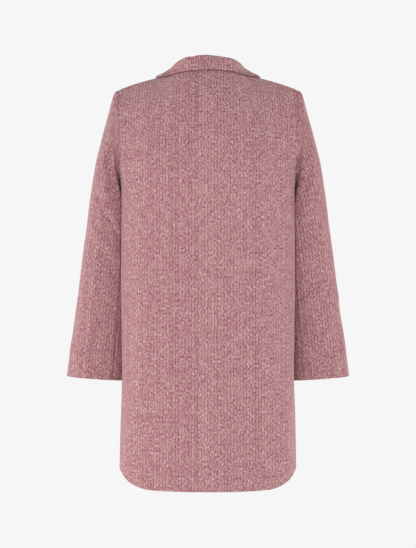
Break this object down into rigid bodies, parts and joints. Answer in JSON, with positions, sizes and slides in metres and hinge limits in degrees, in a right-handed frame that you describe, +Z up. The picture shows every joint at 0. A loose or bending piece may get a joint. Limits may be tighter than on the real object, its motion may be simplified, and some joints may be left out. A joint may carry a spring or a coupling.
{
  "type": "herringbone coat",
  "caption": "Hip-to-thigh length single-breasted coat with turned-down collar, plain lapels and two-piece sleeves, filled out as it is when worn.",
  "frame": {"origin": "middle of the neck at the height of the shoulder seams, where the wearer's shoulders carry the coat", "axes": "+Z up from hem to collar, -Y towards the coat's buttoned front, +X towards the wearer's left"},
  "size_m": [0.6274, 0.2904, 0.9134],
  "materials": {
    "herringbone": "woollen herringbone in old rose, raspberry and cream, lightly napped",
    "button": "dark wine, horn-like, smooth"
  },
  "bodies": {
    "root": {"back": "herringbone", "front_left": "herringbone", "front_right": "herringbone", "sleeve_top_left": "herringbone", "sleeve_under_left": "herringbone", "sleeve_top_right": "herringbone", "sleeve_under_right": "herringbone", "lapel_left": "herringbone", "lapel_right": "herringbone", "collar": "herringbone", "button_top": "button", "button_middle": "button", "button_low": "button"}
  },
  "joints": []
}
